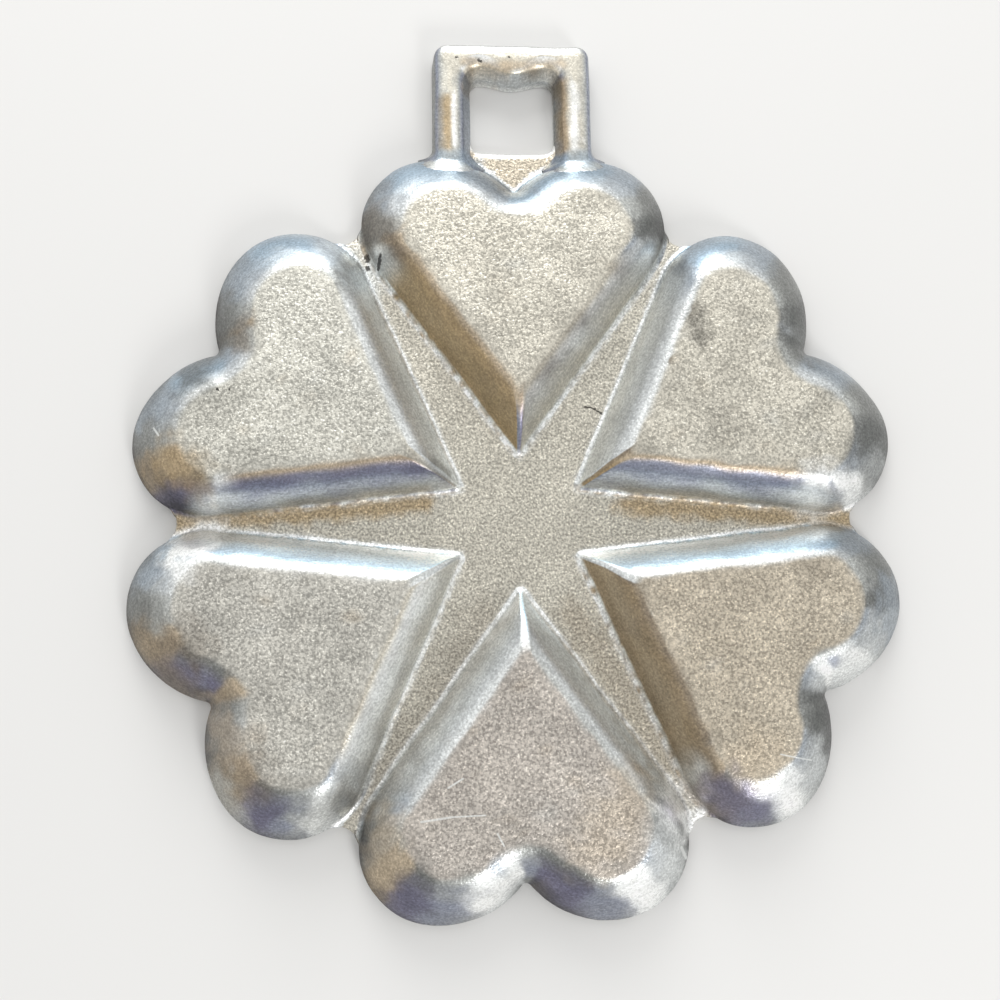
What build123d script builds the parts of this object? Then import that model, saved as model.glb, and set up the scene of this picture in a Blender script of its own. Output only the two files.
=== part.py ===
"""Six-heart muffin pan, cast in one piece, lying face down on its rims.

The frame: +Z is up, the rims stand on Z = 0, the ring of cups is centred on X = Y = 0, and the
handle points along +Y. Turned over, the pan stands on the flat backs of its cups. The casting is
given region by region: six cups round a flat web, a handle loop, and the small web inside it.
The regions meet face to face, as the metal does, and nothing on the pan moves.
"""

from build123d import *
import os
from math import cos, hypot, radians, sin, sqrt

os.makedirs("parts", exist_ok=True)

# Driving dimensions of the ring, in millimetres and degrees
CUP_COUNT = 6
CUP_HEIGHT = 16.0  # from the rims to the flat back of a cup
RIM_BAND = 3.5  # height of the upright edge below a cup's sloping wall, and of the web
WALL = 3.5  # a cup's wall at its rim
BACK_THICKNESS = 3.5  # metal between a cup's inside and its flat back
SIDE_TAPER = 6.2  # a heart's straight side leans this much further out than its sixth of the ring

# One heart at its rim; every reach is measured along the heart's axis from the ring's centre
TIP_REACH = 18.4
LOBE_SPACING = 46.7  # between the centres of a heart's two lobes
LOBE_RADIUS = 20.6
SHOULDER_FULLNESS = 5.8  # the shoulder's radius past the least that joins lobe and notch
NOTCH_DEPTH = 9.6  # from the tops of the lobes in to the notch
NOTCH_RADIUS = 1.5

# The same heart where its wall has run in to the flat back
BACK_SIDE_INSET = 9.3
BACK_LOBE_SETBACK = 5.7
BACK_LOBE_RADIUS = 6.0
BACK_SHOULDER_FULLNESS = 0.5
BACK_NOTCH_SETBACK = 12.4
BACK_NOTCH_RADIUS = 14.5

# The wall's section: 0 is a straight draft, 1 is a full quarter round
SIDE_ROUNDNESS = 0.5
LOBE_ROUNDNESS = 0.6
WALL_STEPS = (0.0, 0.3, 0.55, 0.75, 0.88, 0.96, 1.0)  # shares of the wall's rise with a section

# The web between the cups
WEB_RUN_OUT = 8.8  # how far the web's arms run on past the lobes' centres
WEB_END_RADIUS = 4.5  # the hollow end of each arm of the web
WEB_END_DEPTH = 1.0  # the hollow's centre lies this far beyond the web's reach

# The handle
HANDLE_LENGTH = 35.0  # from the tops of the first cup's lobes to the handle's far end
HANDLE_WIDTH = 47.0
HANDLE_HEIGHT = 9.0
HANDLE_CORNER = 4.5
SIDE_BAR = 11.2  # width of each leg at its foot
END_BAR = 9.8  # width of the bar across the far end, beside its bulge
ROOT_RISE = 3.7  # how far above the lobes' tops the legs begin to flare towards the cup
FLARE_RADIUS = 4.5
OUTER_DRAFT = 1.0  # how far the outside leans in over the handle's height
INNER_DRAFT = 2.6  # how far the inside leans back over the same height
BAR_ROUND = 3.2
OPENING_CORNER = 3.0
OPENING_DIP = 1.6  # how far the middle of the end bar bulges into the opening
CREST_DIP = 3.0  # the same bulge at the top of the bar
HANDLE_WEB = 12.6  # the thin web's length, from the first cup's notch to the opening

# Worked out from them
turn = 360 / CUP_COUNT
side_angle = radians(turn / 2 + SIDE_TAPER)
tip_to_lobe = (LOBE_SPACING / 2 * cos(side_angle) + LOBE_RADIUS) / sin(side_angle)
lobe_reach = TIP_REACH + tip_to_lobe
lobe_top = lobe_reach + LOBE_RADIUS
notch_reach = lobe_top - NOTCH_DEPTH
web_reach = lobe_reach + WEB_RUN_OUT
handle_root = lobe_top + ROOT_RISE
handle_far = lobe_top + HANDLE_LENGTH
opening_half = HANDLE_WIDTH / 2 - SIDE_BAR
opening_near = notch_reach + HANDLE_WEB
opening_far = handle_far - END_BAR


def outline_on(plane, tip, lobe, lobe_radius, fullness, notch, notch_radius):
    """One heart on the plane, its axis along the plane's Y, as a closed sketch.

    Half of it is a straight side, the lobe's arc, the flatter shoulder arc and half of the
    notch's small arc, each tangent to the next. The other half is its mirror image.
    """
    side = (sin(side_angle), cos(side_angle))
    lobe_x = ((lobe - tip) * side[0] - lobe_radius) / side[1]
    hollow = notch + notch_radius
    span = hypot(lobe_x, hollow - lobe)
    shoulder_radius = (span + lobe_radius - notch_radius) / 2 + fullness
    # The shoulder's centre: inside tangency with the lobe, outside tangency with the notch
    to_lobe = shoulder_radius - lobe_radius
    to_hollow = shoulder_radius + notch_radius
    along = (to_lobe**2 - to_hollow**2 + span**2) / (2 * span)
    across = sqrt(to_lobe**2 - along**2)
    ex, ey = -lobe_x / span, (hollow - lobe) / span
    shoulder = (lobe_x + along * ex - across * ey, lobe + along * ey + across * ex)
    lobe_start = (lobe_x + lobe_radius * side[1], lobe - lobe_radius * side[0])
    lobe_end = (
        lobe_x + lobe_radius * (lobe_x - shoulder[0]) / to_lobe,
        lobe + lobe_radius * (lobe - shoulder[1]) / to_lobe,
    )
    shoulder_end = (
        shoulder[0] - shoulder_radius * shoulder[0] / to_hollow,
        shoulder[1] + shoulder_radius * (hollow - shoulder[1]) / to_hollow,
    )
    with BuildSketch(plane) as heart:
        with BuildLine():
            edge = Line((0, tip), lobe_start)
            edge = TangentArc(lobe_start, lobe_end, tangent=edge % 1)
            edge = TangentArc(lobe_end, shoulder_end, tangent=edge % 1)
            TangentArc(shoulder_end, (0, notch), tangent=edge % 1)
            mirror(about=Plane.YZ)
        make_face()
    return heart.sketch


def wall_run(rise, roundness):
    """How far in the wall has come, from 0 to 1, once it has climbed by this share."""
    return (1 - roundness) * rise + roundness * (1 - sqrt(1 - rise**2))


def between(start, end, share):
    return start + share * (end - start)


def heart_on(plane, rise, inset):
    """The heart at one height of the wall; the inset draws all of it in, as the inside is."""
    side_run = wall_run(rise, SIDE_ROUNDNESS)
    lobe_run = wall_run(rise, LOBE_ROUNDNESS)
    return outline_on(
        plane,
        tip=TIP_REACH + (side_run * BACK_SIDE_INSET + inset) / sin(side_angle),
        lobe=lobe_reach - lobe_run * BACK_LOBE_SETBACK,
        lobe_radius=between(LOBE_RADIUS, BACK_LOBE_RADIUS, lobe_run) - inset,
        fullness=between(SHOULDER_FULLNESS, BACK_SHOULDER_FULLNESS, lobe_run),
        notch=notch_reach - lobe_run * BACK_NOTCH_SETBACK - inset,
        notch_radius=between(NOTCH_RADIUS, BACK_NOTCH_RADIUS, lobe_run) + inset,
    )


def wall_sections(bottom, top, inset):
    """Hearts from bottom to top, one for each step of the wall."""
    return [
        heart_on(Plane.XY.offset(between(bottom, top, rise)), rise, inset) for rise in WALL_STEPS
    ]


def opening_on(plane, lean, dip):
    """The handle's opening, run on down to the line of the lobes' centres, inside the cup.

    Its far edge is a gentle wave, two arcs each way, because the end bar bulges in the middle.
    """
    half = opening_half + lean
    far = opening_far + lean
    corner = half - OPENING_CORNER
    with BuildSketch(plane) as opening:
        with BuildLine():
            Line((0, lobe_reach), (half, lobe_reach))
            Line((half, lobe_reach), (half, far - OPENING_CORNER))
            TangentArc((half, far - OPENING_CORNER), (corner, far), tangent=(0, 1))
            wave = TangentArc((corner, far), (corner / 2, far - dip / 2), tangent=(-1, 0))
            TangentArc(wave @ 1, (0, far - dip), tangent=wave % 1)
            mirror(about=Plane.YZ)
        make_face()
    return opening.sketch


def handle_on(plane, lean):
    """The handle's outside: a squared loop whose legs flare where they reach the cup."""
    half = HANDLE_WIDTH / 2 - lean
    far = handle_far - lean
    flare = (half + FLARE_RADIUS, handle_root - FLARE_RADIUS)
    with BuildSketch(plane) as outside:
        with BuildLine():
            Line((0, far), (half - HANDLE_CORNER, far))
            TangentArc((half - HANDLE_CORNER, far), (half, far - HANDLE_CORNER), tangent=(1, 0))
            Line((half, far - HANDLE_CORNER), (half, handle_root))
            TangentArc((half, handle_root), flare, tangent=(0, -1))
            Line(flare, (flare[0], lobe_reach))
            Line((flare[0], lobe_reach), (0, lobe_reach))
            mirror(about=Plane.YZ)
        make_face()
    return outside.sketch


# One cup's outside: an upright rim band, then a rounded wall up to the flat back
with BuildPart() as cup_block:
    extrude(heart_on(Plane.XY, 0, 0), amount=RIM_BAND)
    loft(wall_sections(RIM_BAND, CUP_HEIGHT, 0))

# One cup's inside, which opens at the rims
with BuildPart() as cup_hollow:
    loft(wall_sections(0, CUP_HEIGHT - BACK_THICKNESS, WALL))

# The six cups, numbered clockwise from the handle
for index in range(CUP_COUNT):
    with BuildPart() as heart_cup:
        add(cup_block.part, rotation=(0, 0, -index * turn))
        add(cup_hollow.part, rotation=(0, 0, -index * turn), mode=Mode.SUBTRACT)
    heart_cup.part.label = f"heart_cup_{index + 1}"
    export_step(heart_cup.part, f"parts/{heart_cup.part.label}.step")

# The web: a flat star that fills the ring's middle and the valleys between the cups
rim_heart = heart_on(Plane.XY, 0, 0)
with BuildPart() as web_plate:
    with BuildSketch():
        Circle(web_reach)
        with PolarLocations(0, CUP_COUNT):
            add(rim_heart, mode=Mode.SUBTRACT)
        with PolarLocations(web_reach + WEB_END_DEPTH, CUP_COUNT, start_angle=90 - turn / 2):
            Circle(WEB_END_RADIUS, mode=Mode.SUBTRACT)
    extrude(amount=RIM_BAND)
web_plate.part.label = "web_plate"
export_step(web_plate.part, "parts/web_plate.step")

# The handle loop: a rounded bar round the opening, upright below and leaning back above the web
with BuildPart() as handle_loop:
    loft([handle_on(Plane.XY, 0), handle_on(Plane.XY.offset(HANDLE_HEIGHT), OUTER_DRAFT)])
    extrude(opening_on(Plane.XY, 0, OPENING_DIP), amount=RIM_BAND, mode=Mode.SUBTRACT)
    loft(
        [
            opening_on(Plane.XY.offset(RIM_BAND), 0, OPENING_DIP),
            opening_on(Plane.XY.offset(HANDLE_HEIGHT), INNER_DRAFT, CREST_DIP),
        ],
        mode=Mode.SUBTRACT,
    )
    fillet(handle_loop.edges().group_by(Axis.Z)[-1], BAR_ROUND)
    add(cup_block.part, mode=Mode.SUBTRACT)
handle_loop.part.label = "handle_loop"
export_step(handle_loop.part, "parts/handle_loop.step")

# The handle web: the thin plate between the legs, from the first cup's notch to the opening
with BuildPart() as handle_web:
    with BuildSketch():
        with Locations((0, lobe_reach)):
            Rectangle(
                2 * opening_half,
                opening_near + OPENING_CORNER - lobe_reach,
                align=(Align.CENTER, Align.MIN),
            )
        with Locations((0, opening_near)):
            RectangleRounded(
                2 * opening_half,
                opening_far - opening_near,
                OPENING_CORNER,
                align=(Align.CENTER, Align.MIN),
                mode=Mode.SUBTRACT,
            )
        add(rim_heart, mode=Mode.SUBTRACT)
    extrude(amount=RIM_BAND)
handle_web.part.label = "handle_web"
export_step(handle_web.part, "parts/handle_web.step")
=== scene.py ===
# %% [markdown]
# # A six-heart muffin pan, dressed
# The pan is one sand casting. It lies face down: the rims of its six cups are on the floor and
# the flat backs of the cups look up. This lesson builds each region of the casting as a surface
# that numpy works out, and gives all of them one cast metal. The frame comes first, because
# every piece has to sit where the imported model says.

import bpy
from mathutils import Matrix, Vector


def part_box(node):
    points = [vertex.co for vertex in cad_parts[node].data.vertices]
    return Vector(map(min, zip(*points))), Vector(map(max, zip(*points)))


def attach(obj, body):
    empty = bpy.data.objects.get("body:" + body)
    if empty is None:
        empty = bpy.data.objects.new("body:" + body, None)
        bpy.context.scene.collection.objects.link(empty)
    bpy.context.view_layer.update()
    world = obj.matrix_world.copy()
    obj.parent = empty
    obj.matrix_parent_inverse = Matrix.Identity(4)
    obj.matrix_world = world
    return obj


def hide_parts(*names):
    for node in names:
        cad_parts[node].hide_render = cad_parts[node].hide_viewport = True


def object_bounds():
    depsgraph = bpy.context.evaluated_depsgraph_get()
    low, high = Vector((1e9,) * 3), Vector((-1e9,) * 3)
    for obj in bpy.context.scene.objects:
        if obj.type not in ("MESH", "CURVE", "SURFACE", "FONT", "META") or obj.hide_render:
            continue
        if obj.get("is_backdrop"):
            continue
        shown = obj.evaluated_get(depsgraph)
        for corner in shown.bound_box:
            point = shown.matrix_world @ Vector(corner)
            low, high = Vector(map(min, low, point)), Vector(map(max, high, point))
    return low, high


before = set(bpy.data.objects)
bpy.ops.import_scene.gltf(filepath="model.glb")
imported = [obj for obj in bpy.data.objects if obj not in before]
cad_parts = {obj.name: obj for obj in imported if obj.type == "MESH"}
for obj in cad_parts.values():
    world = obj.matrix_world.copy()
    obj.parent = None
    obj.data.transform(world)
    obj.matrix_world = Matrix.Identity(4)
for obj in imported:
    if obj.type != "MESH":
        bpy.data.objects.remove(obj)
cad_low, cad_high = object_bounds()
print("CAD box, mm:", [round(1000 * v, 2) for v in (*cad_low, *cad_high)])

# %% [markdown]
# ## Sizes of the casting
# A pattern maker cuts all six hearts from one template, so one set of sizes gives every cup.
# Heights come from the frame. The outline's sizes are those of the solid model, in millimetres,
# measured along a heart's own axis from the middle of the ring.

# %% Sizes
import bpy
import numpy as np

MM = 0.001
CUP_COUNT = 6
cup_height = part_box("heart_cup_1")[1].z / MM
web_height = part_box("web_plate")[1].z / MM
handle_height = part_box("handle_loop")[1].z / MM
WALL = 3.5
BACK_THICKNESS = 3.5

TIP_REACH = 18.4
LOBE_SPACING = 46.7
LOBE_RADIUS = 20.6
SHOULDER_FULLNESS = 5.8
NOTCH_DEPTH = 9.6
NOTCH_RADIUS = 1.5
BACK_SIDE_INSET = 9.3
BACK_LOBE_SETBACK = 5.7
BACK_LOBE_RADIUS = 6.0
BACK_SHOULDER_FULLNESS = 0.5
BACK_NOTCH_SETBACK = 12.4
BACK_NOTCH_RADIUS = 14.5
SIDE_ROUNDNESS = 0.5
LOBE_ROUNDNESS = 0.6

turn = 2 * np.pi / CUP_COUNT
side_angle = turn / 2 + np.radians(6.2)
lobe_reach = TIP_REACH + (LOBE_SPACING / 2 * np.cos(side_angle) + LOBE_RADIUS) / np.sin(side_angle)
lobe_top = lobe_reach + LOBE_RADIUS
notch_reach = lobe_top - NOTCH_DEPTH
print("cup", round(cup_height, 2), "mm high, lobes reach", round(lobe_top, 2), "mm")

# %% [markdown]
# ## The heart's outline
# Each cup is a heart made of straight sides and arcs that run into each other without a corner.
# It could be drawn as a curve and extruded, but the walls change shape as they rise, so the
# outline is a formula with its sizes as arguments. It takes whole columns of sizes and gives
# one outline for each, so that a wall is a single call.

# %% Heart outline
ARC_STEPS = {"tip": 8, "side": 92, "lobe": 70, "shoulder": 40, "notch": 12}


def arc(x, y, radius, start, end, steps):
    """Points at centre + radius * (cos, sin) of angles from start up to, not including, end."""
    angle = start + (end - start) * np.arange(steps) / steps
    return np.stack([x + radius * np.cos(angle), y + radius * np.sin(angle)], axis=-1)


def heart_loops(tip, lobe, lobe_radius, fullness, notch, notch_radius, tip_radius):
    """Closed hearts about the +Y axis, shape (rows, columns, 2), one row for each row of sizes.

    The right half runs from the tip by a small arc, a straight side at side_angle to the axis,
    the lobe's arc, the flatter shoulder arc and the notch's arc. Each arc's centre is in line
    with its neighbour's, so they share a tangent. The left half is the mirror image.
    """
    sine, cosine = np.sin(side_angle), np.cos(side_angle)
    lobe_x = ((lobe - tip) * sine - lobe_radius) / cosine
    hollow = notch + notch_radius
    span = np.hypot(lobe_x, hollow - lobe)
    shoulder_radius = (span + lobe_radius - notch_radius) / 2 + fullness
    to_lobe, to_hollow = shoulder_radius - lobe_radius, shoulder_radius + notch_radius
    along = (to_lobe**2 - to_hollow**2 + span**2) / (2 * span)
    across = np.sqrt(to_lobe**2 - along**2)
    ex, ey = -lobe_x / span, (hollow - lobe) / span
    shoulder_x = lobe_x + along * ex - across * ey
    shoulder_y = lobe + along * ey + across * ex
    leave_lobe = np.arctan2(lobe - shoulder_y, lobe_x - shoulder_x)
    leave_shoulder = np.arctan2(hollow - shoulder_y, -shoulder_x)
    zero = np.zeros_like(tip)
    tip_y, steps = tip + tip_radius / sine, ARC_STEPS["tip"]
    tip_end = arc(zero, tip_y, tip_radius, -np.pi / 2 + zero, -side_angle, steps)
    lobe_arc = arc(lobe_x, lobe, lobe_radius, -side_angle + zero, leave_lobe, ARC_STEPS["lobe"])
    side_start = np.stack([tip_radius * cosine + zero, tip_y - tip_radius * sine], axis=-1)
    share = np.arange(ARC_STEPS["side"])[None, :, None] / ARC_STEPS["side"]
    side = side_start + (lobe_arc[:, :1] - side_start) * share
    shoulder = arc(
        shoulder_x, shoulder_y, shoulder_radius, leave_lobe, leave_shoulder, ARC_STEPS["shoulder"]
    )
    steps = ARC_STEPS["notch"]
    notch_arc = arc(zero, hollow, notch_radius, leave_shoulder - np.pi, -np.pi / 2 + zero, steps)
    middle = np.stack([zero, notch], axis=-1)
    right = np.concatenate([tip_end, side, lobe_arc, shoulder, notch_arc, middle], axis=1)
    left = right[:, -2:0:-1] * [-1, 1]
    return np.concatenate([right, left], axis=1)


def wall_loops(angle, inset=0.0, tip_radius=(0.9, 2.4)):
    """Hearts where the wall has turned by each angle, from 0 at the rim to a right angle at the back.

    The wall has run in by (1 - roundness) * sin(angle) + roundness * (1 - cos(angle)) of its way.
    The inset draws the whole outline in, as the inside of a cup is.
    """
    angle = np.atleast_1d(angle).astype(float)[:, None]
    inset = np.broadcast_to(np.asarray(inset, float).reshape(-1, 1), angle.shape)
    side_run = (1 - SIDE_ROUNDNESS) * np.sin(angle) + SIDE_ROUNDNESS * (1 - np.cos(angle))
    lobe_run = (1 - LOBE_ROUNDNESS) * np.sin(angle) + LOBE_ROUNDNESS * (1 - np.cos(angle))
    return heart_loops(
        tip=TIP_REACH + (side_run * BACK_SIDE_INSET + inset) / np.sin(side_angle),
        lobe=lobe_reach - lobe_run * BACK_LOBE_SETBACK,
        lobe_radius=LOBE_RADIUS + lobe_run * (BACK_LOBE_RADIUS - LOBE_RADIUS) - inset,
        fullness=SHOULDER_FULLNESS + lobe_run * (BACK_SHOULDER_FULLNESS - SHOULDER_FULLNESS),
        notch=notch_reach - lobe_run * BACK_NOTCH_SETBACK - inset,
        notch_radius=NOTCH_RADIUS + lobe_run * (BACK_NOTCH_RADIUS - NOTCH_RADIUS) + inset,
        tip_radius=tip_radius[0] + side_run * (tip_radius[1] - tip_radius[0]),
    )


rim_loop = wall_loops(0.0)[0]
print("rim outline:", len(rim_loop), "points,", round(np.ptp(rim_loop[:, 0]), 1), "mm across")

# %% [markdown]
# ## From arrays to meshes
# A surface is a grid of points: rows follow the section from the back of the cup round to its
# inside, and columns go round the outline. Filling a mesh with whole arrays is quick and keeps
# the grid's order, so the faces all turn the same way. A fan of triangles closes each end.

# %% Mesh helpers
def smooth(value, low, high):
    """0 below low, 1 above high, and 3t^2 - 2t^3 between them."""
    t = np.clip((value - low) / (high - low), 0, 1)
    return t * t * (3 - 2 * t)


def quads_of(rows, columns, closed=True):
    """Quads between neighbouring rows of a grid, whose columns close up into a ring or not."""
    index = np.arange(rows * columns).reshape(rows, columns)
    ahead = np.roll(index, -1, axis=1)
    corners = np.stack([index[:-1], index[1:], ahead[1:], ahead[:-1]], axis=-1)
    return (corners if closed else corners[:, :-1]).reshape(-1, 4)


def fan_of(pole, ring):
    """Triangles from one point to each pair of neighbours round a ring."""
    return np.stack([np.full_like(ring, pole), ring, np.roll(ring, -1)], axis=-1)


def make_piece(name, points, quads, triangles, marks, crease=38):
    """One mesh object from points in millimetres, its faces, and one value a point for each mark."""
    mesh = bpy.data.meshes.new(name)
    mesh.vertices.add(len(points))
    mesh.vertices.foreach_set("co", (points * MM).astype(np.float32).ravel())
    corners = np.concatenate([quads.ravel(), triangles.ravel()]).astype(np.int32)
    mesh.loops.add(len(corners))
    mesh.loops.foreach_set("vertex_index", corners)
    starts = np.arange(len(triangles)) * 3 + quads.size
    starts = np.concatenate([np.arange(len(quads)) * 4, starts]).astype(np.int32)
    mesh.polygons.add(len(starts))
    mesh.polygons.foreach_set("loop_start", starts)
    mesh.update(calc_edges=True)
    mesh.polygons.foreach_set("use_smooth", np.ones(len(starts), bool))
    mesh.set_sharp_from_angle(angle=np.radians(crease))
    for mark, values in marks.items():
        layer = mesh.attributes.new(mark, "FLOAT", "POINT")
        layer.data.foreach_set("value", values.astype(np.float32).ravel())
    piece = bpy.data.objects.new(name, mesh)
    bpy.context.scene.collection.objects.link(piece)
    low, high = points.min(axis=0), points.max(axis=0)
    print(f"{name}: {len(starts)} faces, {np.round(high - low, 1)} mm")
    return piece


# %% [markdown]
# ## The casting's unevenness
# Sand leaves no face quite flat, and the walls were ground by hand. A sculpted mesh could show
# that, but then each region would need its own sculpting and the joins would open. A sum of
# plane waves is the same everywhere in space, so two regions that meet are moved alike.

# %% Unevenness
ROLL = (0.11, 16.0, 3)  # height, wavelength and seed of the long waves, in millimetres
CHATTER = (0.016, 3.6, 11)
WAVE_COUNT = 22
BACK_DROP = 2.4 * ROLL[0]  # more than the waves' height
STILL = (0.5, 2.5)  # heights over which the waves grow from nothing, above the rims


def waves(points, wavelength, seed):
    """Plane waves with random headings and phases, added up: about one unit high either way."""
    rng = np.random.default_rng(seed)
    heading = rng.normal(size=(WAVE_COUNT, 3))
    heading /= np.linalg.norm(heading, axis=1, keepdims=True)
    length = wavelength * rng.uniform(0.6, 1.7, (WAVE_COUNT, 1))
    phase = rng.uniform(0, 2 * np.pi, WAVE_COUNT)
    return np.sin(points @ (2 * np.pi * heading / length).T + phase).sum(axis=-1) / np.sqrt(WAVE_COUNT)


def uneven(points):
    """Points shifted by the waves, except where they lie on the floor, and kept in the CAD box.

    The backs are lowered by BACK_DROP, so that no crest is cut off flat by the box.
    """
    shift = np.zeros_like(points)
    for height, wavelength, seed in (ROLL, CHATTER):
        for axis in range(3):
            shift[..., axis] += height * waves(points, wavelength, seed + axis)
    free = smooth(points[..., 2], *STILL)[..., None]
    moved = points + shift * free
    moved[..., 2] -= BACK_DROP * smooth(points[..., 2], web_height, cup_height)
    return np.clip(moved, np.array(cad_low) / MM, np.array(cad_high) / MM)


print("the casting rolls by about", ROLL[0], "mm, and its backs drop by", round(BACK_DROP, 2), "mm")

# %% [markdown]
# ## One cup
# A cup is a closed shell: the flat back, a wall that rounds over at the lobes and runs almost
# straight at the sides, the rim that it stands on, and the inside. Revolving can't make a
# heart, and a loft in the modeller leaves no say over the rows. Here one profile is carried
# round the outline, and the same rows also give the small hollow fillet where the wall runs
# into the web, which is there only where there is a web.

# %% Back and wall
BACK_MIDDLE = np.array([0.0, 68.0])
ROWS = {"back": 56, "wall": 44, "root": 8, "edge": 5, "inner": 24, "floor": 16}
QUARTER = np.pi / 2
ROOT_ANGLE = 0.12  # how far up the wall, as its turn, the root fillet reaches
SOFT_PASSES = 56
SOFT_ROWS = (11, 24)  # rows from the back's edge over which the softening fades out
BROW_SHINE = 0.6  # how far the back's edge is burnished, where the wall's middle is 1
wall_climb = cup_height - web_height


def lifted(loops, heights):
    """Outlines, shape (rows, columns, 2), at one height each."""
    rise = np.broadcast_to(np.reshape(heights, (-1, 1, 1)), loops.shape[:2] + (1,))
    return np.concatenate([loops, rise], axis=-1)


def softened(rows):
    """Rows of the back and the wall with the edge between them rounded over.

    Each pass moves a row half way to the mean of the two beside it, fully at the edge and less
    and less away from it.
    """
    reach = np.abs(np.arange(len(rows)) - ROWS["back"])
    weight = 0.5 * (1 - smooth(reach, *SOFT_ROWS))[1:-1, None, None]
    for _ in range(SOFT_PASSES):
        rows[1:-1] += weight * ((rows[:-2] + rows[2:]) / 2 - rows[1:-1])
    return rows


def back_and_wall():
    """Rows out over the back and down the wall, and how far each row is burnished.

    The back's rows are the outline's points drawn towards its middle by even shares. The wall is
    a quarter turn: its height is the sine of the turn, and its outline is wall_loops' own.
    """
    back = wall_loops(QUARTER)[0]
    share = (np.arange(1, ROWS["back"] + 1) / ROWS["back"])[:, None, None]
    face = lifted(BACK_MIDDLE + (back - BACK_MIDDLE) * share, cup_height)
    angle = np.linspace(QUARTER, ROOT_ANGLE, ROWS["wall"] + 1)[1:]
    wall = lifted(wall_loops(angle), web_height + wall_climb * np.sin(angle))
    face_shine = BROW_SHINE * smooth(share[:, 0, 0], 0.82, 1.0)
    wall_shine = 1 - (1 - BROW_SHINE) * smooth(angle, 1.0, QUARTER)
    return softened(np.concatenate([face, wall])), np.concatenate([face_shine, wall_shine])


print("back and wall:", len(back_and_wall()[0]), "rows")

# %% [markdown]
# ## The root, the rim and the inside
# Where a web meets the wall, the sand mould left a small hollow fillet. A bevel would need an
# edge between two pieces that aren't one mesh, so the wall's last rows bend out over the web by a
# quadratic curve instead. Where nothing meets the wall, the same rows are plain wall, and the rim
# below them is rounded to the floor. The inside repeats the wall, drawn in by its thickness.

# %% Root, rim and inside
ROOT_REACH = 1.5  # how far out over the web the fillet reaches
ROOT_SINK = 0.03
EDGE_ROUND = 0.6
MOUTH_ROUND = 0.9
RIM_ROWS = [web_height - 10 * ROOT_SINK, 1.9, 1.1]  # heights of the rows beside the web's edge
RIM_INSETS = [1.2, 1.9, WALL - MOUTH_ROUND]
hollow_height = cup_height - BACK_THICKNESS


def outward(loop):
    """Unit normals of a closed loop in plan: its tangent turned a quarter turn clockwise."""
    tangent = np.roll(loop, -1, axis=0) - np.roll(loop, 1, axis=0)
    tangent /= np.linalg.norm(tangent, axis=1, keepdims=True)
    return np.stack([tangent[:, 1], -tangent[:, 0]], axis=-1)


def root_rows(start, hold):
    """The wall's foot: the quadratic curve over the web where hold is 1, plain wall where it is 0."""
    share = (np.arange(1, ROWS["root"] + 1) / ROWS["root"])[:, None, None]
    corner = lifted(rim_loop[None], web_height)[0]
    foot = corner + np.c_[outward(rim_loop) * ROOT_REACH, np.full(len(rim_loop), -ROOT_SINK)]
    fillet = (1 - share) ** 2 * start + 2 * share * (1 - share) * corner + share**2 * foot
    angle = ROOT_ANGLE * (1 - share[:, 0, 0])
    plain = lifted(wall_loops(angle), web_height + wall_climb * np.sin(angle))
    return hold * fillet + (1 - hold) * plain, 1 - 0.8 * share[:, 0, 0]


def rim_rows(hold):
    """Down to the floor, by a quarter circle where no web is, and in over the rim's face."""
    turned = np.linspace(0, QUARTER, ROWS["edge"] + 1)[1:]
    rounding = EDGE_ROUND * (1 - hold)
    side = lifted(rim_loop[None].repeat(len(RIM_ROWS), axis=0), RIM_ROWS)
    drop = lifted(rim_loop[None], EDGE_ROUND)
    drop[..., 2:] = drop[..., 2:] * (1 - hold)
    inward = -np.c_[outward(rim_loop), np.zeros(len(rim_loop))]
    curl = (1 - np.cos(turned))[:, None, None] * rounding * inward
    curl[..., 2] = -np.sin(turned)[:, None] * rounding[..., 0]
    face = lifted(wall_loops(np.zeros(len(RIM_INSETS)), inset=RIM_INSETS), 0.0)
    return np.concatenate([side, drop, drop + curl, face])


def inside_rows():
    """Round the mouth's edge, up the inner wall and in to the middle of the hollow."""
    turned = np.linspace(0, QUARTER, ROWS["edge"] + 1)[1:]
    rise = MOUTH_ROUND * (1 - np.cos(turned))
    inset = WALL - MOUTH_ROUND * (1 - np.sin(turned))
    mouth = lifted(wall_loops(np.arcsin(rise / hollow_height), inset), rise)
    angle = np.linspace(np.arcsin(MOUTH_ROUND / hollow_height), QUARTER, ROWS["inner"] + 1)[1:]
    wall = lifted(wall_loops(angle, WALL), hollow_height * np.sin(angle))
    back = wall_loops(QUARTER, WALL)[0]
    share = (1 - np.arange(1, ROWS["floor"]) / ROWS["floor"])[:, None, None]
    ceiling = lifted(BACK_MIDDLE + (back - BACK_MIDDLE) * share, hollow_height)
    return np.concatenate([mouth, wall, ceiling])


def cup_points(has_web):
    """All rows of one cup about the +Y axis, from the middle of the back to the middle inside.

    has_web is 1 round the outline where a web or plate meets the wall and 0 where it is free.
    Also gives how far each row is burnished: 0 is as cast, 1 is ground smooth.
    """
    hold = has_web[None, :, None]
    top, top_shine = back_and_wall()
    root, root_shine = root_rows(top[-1], hold)
    under = np.concatenate([rim_rows(hold), inside_rows()])
    shine = np.concatenate([top_shine, root_shine, np.full(len(under), BROW_SHINE)])
    return np.concatenate([top, root, under]), shine


print("one cup:", len(cup_points(np.zeros(len(rim_loop)))[0]), "rows of", len(rim_loop), "points")

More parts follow.
